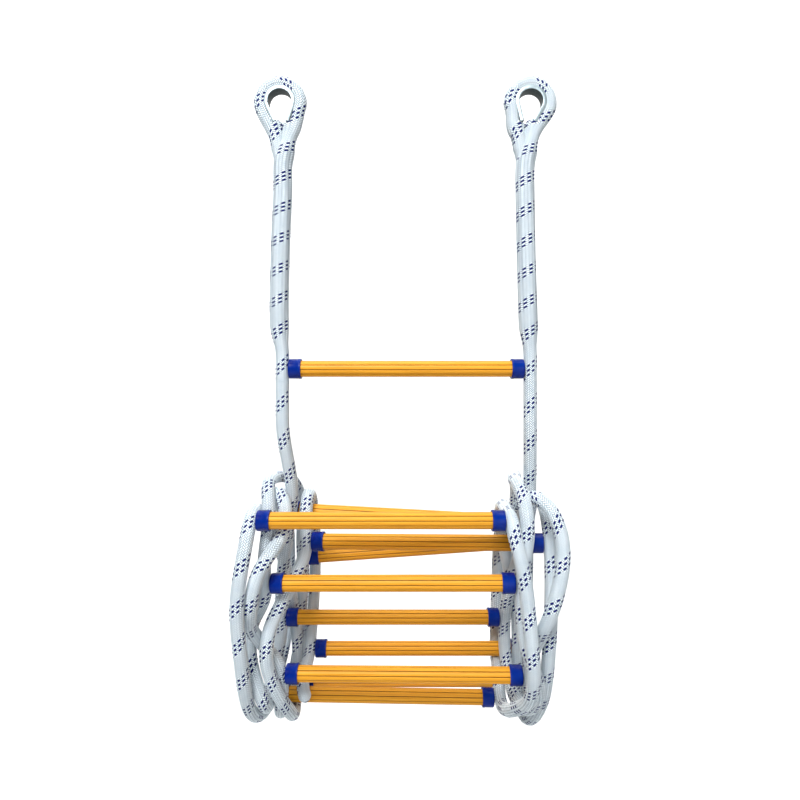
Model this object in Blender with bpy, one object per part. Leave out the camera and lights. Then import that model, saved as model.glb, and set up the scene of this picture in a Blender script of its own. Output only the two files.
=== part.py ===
"""Escape rope ladder: two braided side ropes with thimble eyes, eleven rungs, the lower ten rolled up.

Metres, +Z up, +X to the right, the ladder's face towards -Y. The origin is midway between the two
points where the hooks bear inside the thimble eyes.
"""
import math

import bmesh
import bpy
import numpy as np
from mathutils import Vector

# Driving dimensions
ROPE_D = 0.0165              # braided side rope
SPLICE_D = 0.0240            # where the rope's tail is buried inside the leg below the eye
RUNG_LENGTH = 0.300          # over both end caps
TUBE_D = 0.0206              # fluted rung tube, over its ribs
TUBE_WALL = 0.0030           # from the tops of the ribs
GROOVE = 0.0007              # depth between two ribs
CAP_D = 0.0254
CAP_LENGTH = 0.0160
CAP_WALL = 0.0030            # its closed end
CORE_D = 0.0060              # rod through the rung, woven into both ropes
GAP = 0.0003                 # between solids that touch
ROLLED_ROPE_R = 0.0073       # the rope's solid in the roll, where strands press on each other
ROLLED_ROPE_POINTS = 140
POCKET_LENGTH = ROPE_D / 2 + 0.0012  # of the hole for a core's tip, from the rung's end
RIBS = 10                    # round a rung tube
SHEET = 0.0011               # thimble's sheet metal
FLANGE = 0.0048              # how far the thimble's flanges stand out round the rope
THROAT_Z = -0.0400           # where the thimble ends
THROAT_SHARE = 0.40          # half the gap between the thimble's ends, in EYE_R
CROTCH_Z, CROTCH_SHARE = -0.0640, 0.36  # where the two strands run together, and half their gap there
EYE_R = 0.0150               # inside the round end of the thimble
THIMBLE_DEPTH = 0.0170       # across the thimble's channel, along Y
RUNG_SPACING = 0.348         # along the rope
NECK_Z = -0.0920             # axis of the bend under the eyes
ROLL_HINGE_Z = -0.4020       # axis of the bend over the roll
HINGE_GAP = 0.0002           # between the axis's clearance and each rope's end
NECK_SWING = math.radians(60)
ROLL_SWING = math.radians(75)
LEFT, RIGHT = -1, 1
SIDE_NAMES = {LEFT: "left", RIGHT: "right"}

# Rungs from the top down: centre x, y, z in mm, yaw and roll in degrees,
# and the angle round the roll, in degrees, that the rope has reached there.
RUNGS = [
    (8, 0, -355, 0, 0, None),
    (-10, 80, -703, 0, 0, 205),
    (-10, -30, -620, 3, -1, 376),
    (14, 116, -616, 0, -4, 513),
    (4, -5, -744, 3, -1, 674),
    (-4, 48, -553, 3, 2.5, 820),
    (-20, 64, -806, 0, 1, 970),
    (-23, -40, -541, 0, 0, 1114),
    (10, 98, -800, 0, 0, 1300),
    (33, 12, -580, 6, -1, 1501),
    (27, 105, -758, 0, 0, 1657),
]

# The legs between the neck and the top rung: x of each side's rope at a few heights, metres.
LEG_X = {
    LEFT: [(-0.092, -0.1500), (-0.200, -0.1530), (-0.290, -0.1545)],
    RIGHT: [(-0.092, 0.1600), (-0.200, 0.1615), (-0.290, 0.1640)],
}
EYE_X = {LEFT: -0.1530, RIGHT: 0.1665}


# ---------------------------------------------------------------- the ropes' route through the roll
ROLL_Y, ROLL_Z = 0.045, -0.668        # middle of the roll's oval
ROLL_DEPTH, ROLL_HEIGHT = 0.080, 0.150  # its half axes
ROLL_SHEAR = 0.2                      # the back of the roll hangs lower than the front
ROLL_TOP = -0.500                     # no loop rises far above this
ROLL_X, ROLL_HALF_WIDTH = 0.004, 0.196  # nor stands further out to the side
ROLL_LIMIT = 1.40                     # loops stay within this many times the oval
STEPS = 24                            # rope points per rung spacing
STEP = RUNG_SPACING / STEPS
TAIL_STEPS = 6                        # rope beyond the last rung
TIGHTEST_BEND = 0.036
STRAND_PITCH = ROPE_D + 0.0012        # least distance between two strands' centres
RUNG_CLEARANCE = 0.0024               # between a passing strand and a rung
SEAT_GAP = 0.0004                     # between a rung's end and its rope
FRONT_RUNGS = (2, 3, 5, 10)           # their end caps show in front of the loops
COVER_REACH, COVER_HEIGHT = 0.030, 0.028  # rope this near a front cap's end moves off it

# How the rope settles into the roll: rounds, and the share of each correction made in one round
ROUNDS, CONTACT_ROUNDS = 900, 120
STIFF, SOFT, SOFT_AFTER = 0.25, 0.12, 0.7  # bending stiffness, and when it turns from stiff to soft
FAIR_SHARE = 0.267
GATHER_SHARE, LOWER_SHARE, COVER_SHARE = 0.5, 0.15, 0.05
SWELL_RANGE = (-0.6, 1.5)             # of a loop's first guess, in half axes of the oval


def rung_axis(rung):
    yaw, roll = math.radians(rung[3]), math.radians(rung[4])
    return np.array([math.cos(yaw) * math.cos(roll), -math.sin(yaw) * math.cos(roll), -math.sin(roll)])


def rung_centre(rung):
    return np.array(rung[:3]) / 1000.0


def rope_at_rung(rung, side):
    """Centre of the side rope where it takes the rung's end."""
    return rung_centre(rung) + rung_axis(rung) * side * (RUNG_LENGTH / 2 + ROPE_D / 2 + SEAT_GAP)


def to_polar(p):
    across = (p[1] - ROLL_Y) / ROLL_DEPTH
    up = (p[2] - ROLL_Z + ROLL_SHEAR * (p[1] - ROLL_Y)) / ROLL_HEIGHT
    return math.degrees(math.atan2(up, -across)), math.hypot(up, across)


def from_polar(angle, radius, x):
    a = math.radians(angle)
    y = ROLL_Y - ROLL_DEPTH * radius * math.cos(a)
    return np.array([x, y, ROLL_Z - ROLL_SHEAR * (y - ROLL_Y) + ROLL_HEIGHT * radius * math.sin(a)])


def lengths_of(points):
    return np.linalg.norm(np.diff(points, axis=0), axis=1)


def resample(points, count):
    along = np.concatenate([[0.0], np.cumsum(lengths_of(points))])
    at = np.linspace(0.0, along[-1], count)
    return np.stack([np.interp(at, along, points[:, k]) for k in range(3)], axis=1)


def smooth_curve(controls, per_span):
    """Catmull-Rom curve through the control points."""
    c = np.vstack([2 * controls[0] - controls[1], controls, 2 * controls[-1] - controls[-2]])
    out = []
    for i in range(1, len(c) - 2):
        a, b, d, e = c[i - 1:i + 3]
        for t in np.linspace(0.0, 1.0, per_span, endpoint=False):
            out.append(0.5 * (2 * b + (d - a) * t + (2 * a - 5 * b + 4 * d - e) * t**2
                              + (3 * b - a - 3 * d + e) * t**3))
    out.append(c[-2])
    return np.array(out)


def loop_between(p, q, angle_p, angle_q):
    """One rung spacing of rope round the oval, swelling outwards until its length is right."""
    radius_p, radius_q = to_polar(p)[1], to_polar(q)[1]

    def loop(swell):
        return np.array([
            from_polar(angle_p + (angle_q - angle_p) * t,
                       radius_p + (radius_q - radius_p) * t + swell * math.sin(math.pi * t),
                       p[0] + (q[0] - p[0]) * t)
            for t in np.linspace(0.0, 1.0, 60)])

    low, high = SWELL_RANGE
    for _ in range(30):
        middle = (low + high) / 2
        if lengths_of(loop(middle)).sum() < RUNG_SPACING:
            low = middle
        else:
            high = middle
    return resample(loop(low), STEPS + 1)


def first_guess(side):
    ends = [rope_at_rung(rung, side) for rung in RUNGS]
    angles = [None]
    for end, rung in zip(ends[1:], RUNGS[1:]):
        own = to_polar(end)[0]
        angles.append(own + 360 * round((rung[5] - own) / 360))
    top, second = ends[0], ends[1]
    # Straight down from the top rung, over to the back of the roll and down its back to the second rung
    entry = np.array([top, top + [0, 0.004, -0.060], [(top[0] + second[0]) / 2, 0.030, -0.540],
                      second + [0, -0.006, 0.070], second])
    points = list(resample(smooth_curve(entry, 15), STEPS + 1))
    for i in range(1, len(ends) - 1):
        points += list(loop_between(ends[i], ends[i + 1], angles[i], angles[i + 1])[1:])
    angle, radius = angles[-1], to_polar(ends[-1])[1]
    for _ in range(TAIL_STEPS):
        while np.linalg.norm(from_polar(angle, radius, ends[-1][0]) - points[-1]) < STEP:
            angle += 0.5
        points.append(from_polar(angle, radius, ends[-1][0]))
    return np.array(points)


def fair(points, weight):
    """Bending stiffness: each point moves towards the fair curve through its neighbours."""
    out = points.copy()
    out[2:-2] -= weight * (points[:-4] - 4 * points[1:-3] + 6 * points[2:-2]
                           - 4 * points[3:-1] + points[4:]) * FAIR_SHARE
    return out


def gather(points):
    """Loops that stray too far from the oval, upwards or to the side are drawn back."""
    up = points[:, 2] - ROLL_Z + ROLL_SHEAR * (points[:, 1] - ROLL_Y)
    radius = np.hypot((points[:, 1] - ROLL_Y) / ROLL_DEPTH, up / ROLL_HEIGHT)
    stray = radius > ROLL_LIMIT
    stray[:STEPS] = False
    scale = np.where(stray, 1 - GATHER_SHARE * (1 - ROLL_LIMIT / np.maximum(radius, 0.01)), 1.0)
    y = ROLL_Y + (points[:, 1] - ROLL_Y) * scale
    points[:, 2] = np.where(stray, ROLL_Z - ROLL_SHEAR * (y - ROLL_Y) + up * scale, points[:, 2])
    points[:, 1] = y
    wide = np.abs(points[:, 0] - ROLL_X) - ROLL_HALF_WIDTH
    points[:, 0] -= GATHER_SHARE * np.maximum(wide, 0) * np.sign(points[:, 0] - ROLL_X)
    points[STEPS:, 2] -= LOWER_SHARE * np.maximum(points[STEPS:, 2] - ROLL_TOP, 0)


def uncover(points):
    """Rope that hangs in front of one of the foremost end caps moves outwards, past the cap."""
    for number in FRONT_RUNGS:
        centre, axis = rung_centre(RUNGS[number - 1]), rung_axis(RUNGS[number - 1])
        offset = points - centre
        along = offset @ axis
        past = RUNG_LENGTH / 2 + ROPE_D / 2 - np.abs(along)
        covers = (past > 0) & (past < COVER_REACH) & (offset[:, 1] < 0) & (np.abs(offset[:, 2]) < COVER_HEIGHT)
        covers[:STEPS] = False
        points[covers] += np.outer(COVER_SHARE * past[covers] * np.sign(along[covers]), axis)


def part_strands(points, pairs):
    """Strands that overlap push each other aside, tested at the points and halfway between them."""
    both = np.zeros((2 * len(points) - 1, 3))
    both[::2] = points
    both[1::2] = (points[:-1] + points[1:]) / 2
    first, second = pairs
    apart = both[second] - both[first]
    distance = np.linalg.norm(apart, axis=1)
    close = distance < STRAND_PITCH
    if not close.any():
        return
    first, second = first[close], second[close]
    push = apart[close] * ((STRAND_PITCH - distance[close]) / 2 / distance[close])[:, None]
    total, count = np.zeros_like(both), np.zeros(len(both))
    np.add.at(total, second, push)
    np.add.at(total, first, -push)
    np.add.at(count, second, 1)
    np.add.at(count, first, 1)
    total /= np.maximum(count, 1)[:, None]
    points += total[::2]
    points[:-1] += total[1::2] / 2
    points[1:] += total[1::2] / 2


def clear_rung(points, rung, free):
    """Rope that would run into a rung slides off its side or its end."""
    centre, axis = rung_centre(rung), rung_axis(rung)
    offset = points - centre
    along = offset @ axis
    radial = offset - np.outer(along, axis)
    radius = np.linalg.norm(radial, axis=1)
    past_end, past_side = np.abs(along) - RUNG_LENGTH / 2, radius - CAP_D / 2
    at_rim = (past_end > 0) & (past_side > 0)
    distance = np.where(at_rim, np.hypot(past_end, past_side), np.maximum(past_end, past_side))
    need = ROPE_D / 2 + RUNG_CLEARANCE
    for j in np.nonzero((distance < need) & free)[0]:
        outwards, endwards = radial[j] / max(radius[j], 1e-6), axis * np.sign(along[j])
        if at_rim[j]:
            way = (outwards * past_side[j] + endwards * past_end[j]) / distance[j]
        else:
            way = outwards if past_side[j] > past_end[j] else endwards
        points[j] += way * (need - distance[j])


def hold_apart(points, span):
    """No bend is tighter than the rope allows, measured over a span of steps."""
    least = 2 * TIGHTEST_BEND * math.sin(span * STEP / (2 * TIGHTEST_BEND))
    for start in range(span):
        a = np.arange(start, len(points) - span, span)
        chord = points[a + span] - points[a]
        distance = np.linalg.norm(chord, axis=1)
        push = chord * (np.minimum(distance - least, 0) / distance / 2)[:, None]
        points[a] += push
        points[a + span] -= push


def hold_lengths(points, rest):
    for start in (0, 1):
        a = np.arange(start, len(points) - 1, 2)
        link = points[a + 1] - points[a]
        distance = np.linalg.norm(link, axis=1)
        pull = link * ((distance - rest[a]) / distance / 2)[:, None]
        points[a] += pull
        points[a + 1] -= pull


def keep_contacts(points, ends, held, drop, pairs):
    """Strands and rungs clear of each other, and the rope square to each rung that it carries."""
    part_strands(points, pairs)
    for k, rung in enumerate(RUNGS):
        clear_rung(points, rung, np.abs(np.arange(len(points)) - held[k]) > 1)
    points[held] = ends
    for k, rung in enumerate(RUNGS):
        near = [j for j in (held[k] - 1, held[k] + 1) if j >= 0]
        axis = rung_axis(rung)
        points[near] -= np.outer((points[near] - ends[k]) @ axis, axis)
    points[:len(drop)] = drop


def rope_route(side):
    """Centreline of one side rope from the top rung to its tail, as a stiff line of fixed length."""
    points = first_guess(side)
    ends = np.array([rope_at_rung(rung, side) for rung in RUNGS])
    held = np.arange(len(RUNGS)) * STEPS
    drop = ends[0] - np.outer(np.arange(6), [0, 0, STEP])
    rest = np.full(len(points) - 1, STEP)
    rest[:STEPS] = max(lengths_of(points[:STEPS + 1]).sum() / STEPS, STEP)
    pairs = np.triu_indices(2 * len(points) - 1, k=8)
    for round_ in range(ROUNDS):
        points = fair(points, STIFF if round_ < SOFT_AFTER * ROUNDS else SOFT)
        gather(points)
        uncover(points)
        keep_contacts(points, ends, held, drop, pairs)
        for span in (2, 4):
            hold_apart(points, span)
        for _ in range(3):
            hold_lengths(points, rest)
            points[held] = ends
    for _ in range(CONTACT_ROUNDS):
        keep_contacts(points, ends, held, drop, pairs)
    return points


# ---------------------------------------------------------------- scene helpers
def clear_scene():
    for ob in list(bpy.data.objects):
        bpy.data.objects.remove(ob, do_unlink=True)


def make_collection(name):
    made = bpy.data.collections.new(name)
    bpy.context.scene.collection.children.link(made)
    return made


def make_material(name, colour, roughness, metallic=0.0):
    material = bpy.data.materials.new(name)
    material.use_nodes = True
    shader = material.node_tree.nodes["Principled BSDF"]
    shader.inputs["Base Color"].default_value = (*colour, 1.0)
    shader.inputs["Roughness"].default_value = roughness
    shader.inputs["Metallic"].default_value = metallic
    return material


def place(ob, material, parent=None, collection=None):
    (collection or PARTS).objects.link(ob)
    ob.data.materials.append(material)
    ob.parent = parent
    return ob


def make_empty(name, at, parent=None):
    ob = bpy.data.objects.new(name, None)
    ob.empty_display_size = 0.05
    ob.location = at
    ob.parent = parent
    PARTS.objects.link(ob)
    return ob


def shade_smooth(mesh, degrees=40):
    mesh.shade_smooth()
    mesh.set_sharp_from_angle(angle=math.radians(degrees))


def tube_curve(name, points, radii, resolution=2):
    """A round tube through the points, its radius given at each."""
    curve = bpy.data.curves.new(name, "CURVE")
    curve.dimensions = "3D"
    curve.bevel_depth = 1.0
    curve.bevel_resolution = resolution
    curve.use_fill_caps = True
    spline = curve.splines.new("POLY")
    spline.points.add(len(points) - 1)
    for point, at, radius in zip(spline.points, points, radii):
        point.co = (*at, 1.0)
        point.radius = radius
    return curve


def mesh_from_curve(name, curve):
    """The curve's surface as one welded mesh, with its faces pointing out."""
    guide = bpy.data.objects.new(name + "_curve", curve)
    bpy.context.scene.collection.objects.link(guide)
    graph = bpy.context.evaluated_depsgraph_get()
    mesh = bpy.data.meshes.new_from_object(guide.evaluated_get(graph))
    bpy.data.objects.remove(guide, do_unlink=True)
    bpy.data.curves.remove(curve)
    mesh.name = name
    bm = bmesh.new()
    bm.from_mesh(mesh)
    bmesh.ops.remove_doubles(bm, verts=bm.verts, dist=1e-6)
    bmesh.ops.recalc_face_normals(bm, faces=bm.faces)
    bm.to_mesh(mesh)
    bm.free()
    mesh.materials.clear()
    shade_smooth(mesh, 60)
    return mesh


def dome(centre, outwards, radius):
    """Points and radii of a round rope end, from its base outwards."""
    rise = [0.45, 0.78, 1.0]
    width = [0.88, 0.60, 0.12]
    return [centre + outwards * radius * k for k in rise], [radius * k for k in width]


def boolean(ob, other, operation):
    cut = ob.modifiers.new(operation.lower() + "_" + other.name, "BOOLEAN")
    cut.operation = operation
    cut.object = other
    cut.solver = "EXACT"


# ---------------------------------------------------------------- rungs
def fluted_outline(curve, ribs, outer, groove):
    """A ribbed round outline: each rib has a flat crown and a groove beside it."""
    spline = curve.splines.new("POLY")
    shape = [(-0.30, outer), (0.30, outer), (0.42, outer - groove), (0.58, outer - groove)]
    spline.points.add(ribs * len(shape) - 1)
    for i in range(ribs):
        for j, (share, radius) in enumerate(shape):
            a = 2 * math.pi * (i + share) / ribs
            spline.points[i * len(shape) + j].co = (radius * math.cos(a), radius * math.sin(a), 0, 1)
    spline.use_cyclic_u = True


def round_outline(curve, radius, sides):
    spline = curve.splines.new("POLY")
    spline.points.add(sides - 1)
    for i in range(sides):
        a = 2 * math.pi * i / sides
        spline.points[i].co = (radius * math.cos(a), radius * math.sin(a), 0, 1)
    spline.use_cyclic_u = True


def rung_tube_mesh():
    """Pultruded hollow tube, fluted outside, along Z."""
    curve = bpy.data.curves.new("rung_tube", "CURVE")
    curve.dimensions = "2D"
    curve.fill_mode = "BOTH"
    curve.extrude = RUNG_LENGTH / 2 - CAP_WALL - GAP
    fluted_outline(curve, RIBS, TUBE_D / 2, GROOVE)
    round_outline(curve, TUBE_D / 2 - TUBE_WALL, 16)
    return mesh_from_curve("rung_tube", curve)


def cap_profile():
    """Half section of an end cap: radius and height, round the wall from the closed end."""
    outer, socket, bore = CAP_D / 2, TUBE_D / 2 + GAP, CORE_D / 2 + GAP
    chamfer = 0.0012
    return [(bore, 0.0), (outer - chamfer, 0.0), (outer, -chamfer), (outer, -CAP_LENGTH),
            (socket, -CAP_LENGTH), (socket, -CAP_WALL), (bore, -CAP_WALL)]


def turned_mesh(name, profile, steps):
    """A profile turned once about Z."""
    bm = bmesh.new()
    verts = [bm.verts.new((radius, 0.0, height)) for radius, height in profile]
    edges = [bm.edges.new((a, b)) for a, b in zip(verts, verts[1:] + verts[:1])]
    bmesh.ops.spin(bm, geom=verts + edges, axis=(0, 0, 1), cent=(0, 0, 0),
                   steps=steps, angle=2 * math.pi, use_merge=True)
    bmesh.ops.remove_doubles(bm, verts=bm.verts, dist=1e-6)
    bmesh.ops.recalc_face_normals(bm, faces=bm.faces)
    mesh = bpy.data.meshes.new(name)
    bm.to_mesh(mesh)
    bm.free()
    shade_smooth(mesh)
    return mesh


def rod_mesh(name, radius, length, sides):
    bm = bmesh.new()
    bmesh.ops.create_cone(bm, cap_ends=True, segments=sides, radius1=radius, radius2=radius, depth=length)
    mesh = bpy.data.meshes.new(name)
    bm.to_mesh(mesh)
    bm.free()
    shade_smooth(mesh)
    return mesh


def add_rung(number, rung, parent, meshes):
    """Tube, two caps and core rod of one rung, and the cutters of its pockets in the ropes."""
    name = f"rung_{number:02d}"
    axis, centre = Vector(rung_axis(rung)), Vector(rung_centre(rung))
    turn = axis.to_track_quat("Z", "Y")
    origin = parent.matrix_world.translation

    def add(piece, mesh, at, material, quaternion):
        ob = bpy.data.objects.new(f"{name}_{piece}", mesh)
        place(ob, material, parent)
        ob.location = at - origin
        ob.rotation_mode = "QUATERNION"
        ob.rotation_quaternion = quaternion
        return ob

    add("tube", meshes["tube"].copy(), centre, YELLOW, turn)
    add("core", meshes["core"].copy(), centre, ROD, turn)
    for side in (LEFT, RIGHT):
        outwards = axis * side
        facing = outwards.to_track_quat("Z", "Y")
        tip = centre + outwards * RUNG_LENGTH / 2
        add(SIDE_NAMES[side] + "_cap", meshes["cap"].copy(), tip, BLUE, facing)
        pocket = bpy.data.objects.new(f"{name}_{SIDE_NAMES[side]}_pocket", meshes["pocket"].copy())
        place(pocket, ROD, None, CUTTERS)
        pocket.location = centre + outwards * (RUNG_LENGTH / 2 + POCKET_LENGTH / 2 - 0.0005)
        pocket.rotation_mode = "QUATERNION"
        pocket.rotation_quaternion = facing
        pocket.hide_render = True
        pocket.display_type = "WIRE"
        POCKETS[side].append((number, pocket))


# ---------------------------------------------------------------- eyes and ropes
def teardrop(centre_x, radius, throat_x, throat_z, throat_share, steps):
    """Open teardrop in the XZ plane: up one side, over the round end and down the other side."""
    centre = np.array([centre_x, 0.0, -EYE_R])
    lean = math.radians(205)
    arc = [centre + radius * np.array([math.cos(a), 0.0, math.sin(a)])
           for a in np.linspace(lean, math.pi - lean, steps)]
    left, right = (np.array([throat_x + s * radius * throat_share, 0.0, throat_z]) for s in (-1, 1))
    return np.array([left, *arc, right])


def loft_closed(name, rings):
    """A closed body lofted through equal rings of points, capped at both ends."""
    bm = bmesh.new()
    rows = [[bm.verts.new(p) for p in ring] for ring in rings]
    for a, b in zip(rows, rows[1:]):
        for i in range(len(a)):
            j = (i + 1) % len(a)
            bm.faces.new((a[i], a[j], b[j], b[i]))
    bm.faces.new(rows[0])
    bm.faces.new(rows[-1])
    bmesh.ops.recalc_face_normals(bm, faces=bm.faces)
    mesh = bpy.data.meshes.new(name)
    bm.to_mesh(mesh)
    bm.free()
    shade_smooth(mesh)
    return mesh


def add_thimble(side, parent):
    """Galvanised thimble: the channel swept round the teardrop, open at the throat."""
    half, sheet, rise = THIMBLE_DEPTH / 2, SHEET, FLANGE
    fillet_rise, fillet_run = 0.0012, 0.0020
    section = [(0.0, -half), (0.0, half), (rise, half), (rise, half - sheet),
               (sheet + fillet_rise, half - sheet), (sheet, half - sheet - fillet_run),
               (sheet, -half + sheet + fillet_run), (sheet + fillet_rise, -half + sheet),
               (rise, -half + sheet), (rise, -half)]
    throat_x = (EYE_X[side] + LEG_X[side][0][1]) / 2
    path = teardrop(EYE_X[side], EYE_R, throat_x, THROAT_Z, THROAT_SHARE, 19)
    rings = []
    for i, at in enumerate(path):
        before, after = path[max(i - 1, 0)], path[min(i + 1, len(path) - 1)]
        along = (after - before) / np.linalg.norm(after - before)
        outwards = np.array([-along[2], 0.0, along[0]])
        rings.append([at + outwards * out + np.array([0.0, across, 0.0]) for out, across in section])
    ob = bpy.data.objects.new(SIDE_NAMES[side] + "_thimble", loft_closed("thimble", rings))
    place(ob, STEEL, parent)
    return ob


def add_eye(side, parent):
    """The spliced eye: rope round the thimble, both strands joining in the neck."""
    name = SIDE_NAMES[side] + "_eye_splice"
    radius = ROPE_D / 2
    leg_x = LEG_X[side][0][1]
    seat = EYE_R + SHEET + 2 * GAP + radius
    ring = teardrop(EYE_X[side], seat, leg_x, CROTCH_Z, CROTCH_SHARE, 15)
    ends = [np.array([leg_x + s * 0.0035, 0.0, CROTCH_Z - ROPE_D / 2 + 0.00025]) for s in (-1, 1)]
    path = smooth_curve(np.array([ends[0], *ring[:1], *ring[1:-1:2], *ring[-1:], ends[1]]), 3)
    loop = bpy.data.objects.new(name, mesh_from_curve(name, tube_curve(name, path, [radius] * len(path), 3)))
    place(loop, ROPE, parent)
    neck_r = SPLICE_D / 2
    lower = np.array([leg_x, 0.0, NECK_Z + neck_r / math.cos(NECK_SWING / 2) + HINGE_GAP])
    tips, widths = dome(lower, np.array([0.0, 0.0, -1.0]), neck_r)
    spine = [np.array([(leg_x + EYE_X[side]) / 2, 0.0, -0.0480]), np.array([leg_x, 0.0, -0.0600]), lower, *tips]
    neck_curve = tube_curve(name + "_neck", spine, [0.006, neck_r * 0.96, neck_r, *widths], 3)
    neck = bpy.data.objects.new(name + "_neck", mesh_from_curve(name + "_neck", neck_curve))
    place(neck, ROPE, None, CUTTERS)
    neck.hide_render = True
    neck.display_type = "WIRE"
    boolean(loop, neck, "UNION")
    return loop


def even_points(points, count, bend_length=0.022):
    """Points spread evenly over length and bend together: a radian of bend counts as bend_length."""
    step = np.diff(points, axis=0)
    size = np.linalg.norm(step, axis=1)
    unit = step / size[:, None]
    bend = np.arccos(np.clip((unit[1:] * unit[:-1]).sum(axis=1), -1, 1))
    weight = size + bend_length * np.concatenate([[0], bend])
    along = np.concatenate([[0], np.cumsum(weight)])
    at = np.linspace(0, along[-1], count)
    return np.stack([np.interp(at, along, points[:, k]) for k in range(3)], axis=1)


def add_upper_rope(side, parent):
    """Leg from the neck past the top rung: the buried splice, then single rope."""
    name = SIDE_NAMES[side] + "_upper_rope"
    wide, thin = SPLICE_D / 2, ROPE_D / 2
    rung_end = rope_at_rung(RUNGS[0], side)
    upper_z = NECK_Z - wide / math.cos(NECK_SWING / 2) - HINGE_GAP
    lower_z = ROLL_HINGE_Z + thin / math.cos(ROLL_SWING / 2) + HINGE_GAP
    stations = [(upper_z, wide), (-0.150, wide), (-0.200, wide), (-0.250, wide), (-0.290, wide),
                (-0.305, 0.0112), (-0.318, 0.0092), (-0.335, thin), (-0.355, thin), (-0.375, thin), (lower_z, thin)]
    heights, radii = zip(*stations)
    known = sorted([*LEG_X[side], (-0.335, rung_end[0]), (-0.410, rung_end[0])])
    xs = np.interp(heights, [z for z, _ in known], [x for _, x in known])
    points = [np.array([x, 0.0, z]) for x, z in zip(xs, heights)]
    top_tips, top_widths = dome(points[0], np.array([0.0, 0.0, 1.0]), wide)
    low_tips, low_widths = dome(points[-1], np.array([0.0, 0.0, -1.0]), thin)
    points = [*top_tips[::-1], *points, *low_tips]
    radii = [*top_widths[::-1], *radii, *low_widths]
    add_rope(name, side, points, radii, parent, [1])


def add_lower_rope(side, parent):
    """The rest of the side rope, from the bend under the top rung round the roll to its tail."""
    name = SIDE_NAMES[side] + "_lower_rope"
    radius = ROPE_D / 2
    route = rope_route(side)
    start_z = ROLL_HINGE_Z - radius / math.cos(ROLL_SWING / 2) - HINGE_GAP
    start = np.array([route[0][0], route[0][1], start_z])
    body = even_points(np.vstack([start, route[route[:, 2] < start_z - 0.004]]), ROLLED_ROPE_POINTS)
    tips, widths = dome(start, np.array([0.0, 0.0, 1.0]), radius)
    points = [*tips[::-1], *body]
    radii = [*widths[::-1], *[ROLLED_ROPE_R] * len(body)]
    radii[len(tips)] = radius
    add_rope(name, side, points, radii, parent, range(2, len(RUNGS) + 1))


def add_rope(name, side, points, radii, parent, rungs):
    """A rope solid with a pocket for the core of each rung that it carries."""
    mesh = mesh_from_curve(name, tube_curve(name, points, radii))
    mesh.transform(parent.matrix_world.inverted())
    ob = place(bpy.data.objects.new(name, mesh), ROPE, parent)
    for number, pocket in POCKETS[side]:
        if number in rungs:
            boolean(ob, pocket, "DIFFERENCE")
    return ob


clear_scene()
PARTS = make_collection("escape_rope_ladder")
CUTTERS = make_collection("cutters")
ROPE = make_material("white_braided_rope", (0.80, 0.84, 0.87), 0.85)
STEEL = make_material("galvanised_steel", (0.62, 0.70, 0.72), 0.35, 1.0)
YELLOW = make_material("yellow_epoxy_tube", (0.85, 0.47, 0.04), 0.45)
BLUE = make_material("blue_cap_plastic", (0.01, 0.06, 0.42), 0.35)
ROD = make_material("core_rod", (0.75, 0.74, 0.68), 0.5)
POCKETS = {LEFT: [], RIGHT: []}

eyes = make_empty("eyes_frame", (0, 0, 0))
top_section = make_empty("top_section_frame", (0, 0, NECK_Z), eyes)
bpy.context.view_layer.update()
roll = make_empty("roll_frame", (0, 0, ROLL_HINGE_Z - NECK_Z), top_section)
bpy.context.view_layer.update()

RUNG_MESHES = {
    "tube": rung_tube_mesh(),
    "cap": turned_mesh("end_cap", cap_profile(), 16),
    "core": rod_mesh("core_rod", CORE_D / 2, RUNG_LENGTH + ROPE_D, 10),
    "pocket": rod_mesh("pocket", CORE_D / 2 + GAP, POCKET_LENGTH, 10),
}
for number, rung in enumerate(RUNGS, start=1):
    add_rung(number, rung, top_section if number == 1 else roll, RUNG_MESHES)
for side in (LEFT, RIGHT):
    add_thimble(side, eyes)
    add_eye(side, eyes)
    add_upper_rope(side, top_section)
    add_lower_rope(side, roll)
bpy.context.view_layer.update()
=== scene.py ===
"""Looks of the escape rope ladder: braided ropes, ribbed rung tubes, caps, thimbles, light and camera.

Metres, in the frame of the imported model: +Z up, +X to the right, the ladder's face towards -Y. The ropes
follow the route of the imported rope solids, so the numbers and functions of the route are the same ones.
"""
import math

import bmesh
import bpy
import numpy as np
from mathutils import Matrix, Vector


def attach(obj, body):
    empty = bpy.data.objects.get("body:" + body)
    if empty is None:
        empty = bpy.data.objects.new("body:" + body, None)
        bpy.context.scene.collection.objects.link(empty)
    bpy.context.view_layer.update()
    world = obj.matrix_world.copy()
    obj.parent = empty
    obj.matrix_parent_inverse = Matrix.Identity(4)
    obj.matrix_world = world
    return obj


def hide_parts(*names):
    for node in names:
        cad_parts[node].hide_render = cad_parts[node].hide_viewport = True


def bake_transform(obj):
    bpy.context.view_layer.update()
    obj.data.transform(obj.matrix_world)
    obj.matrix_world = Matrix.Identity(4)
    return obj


# Sizes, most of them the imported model's own
ROPE_D = 0.0165              # braided side rope
SPLICE_D = 0.0240            # where the rope's tail is buried inside the leg below the eye
RUNG_LENGTH = 0.300          # over both end caps
TUBE_D = 0.0206              # ribbed rung tube, over its ribs
TUBE_WALL = 0.0030           # from the tops of the ribs
RIBS = 10
GROOVE = 0.0010              # depth between two ribs
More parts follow.
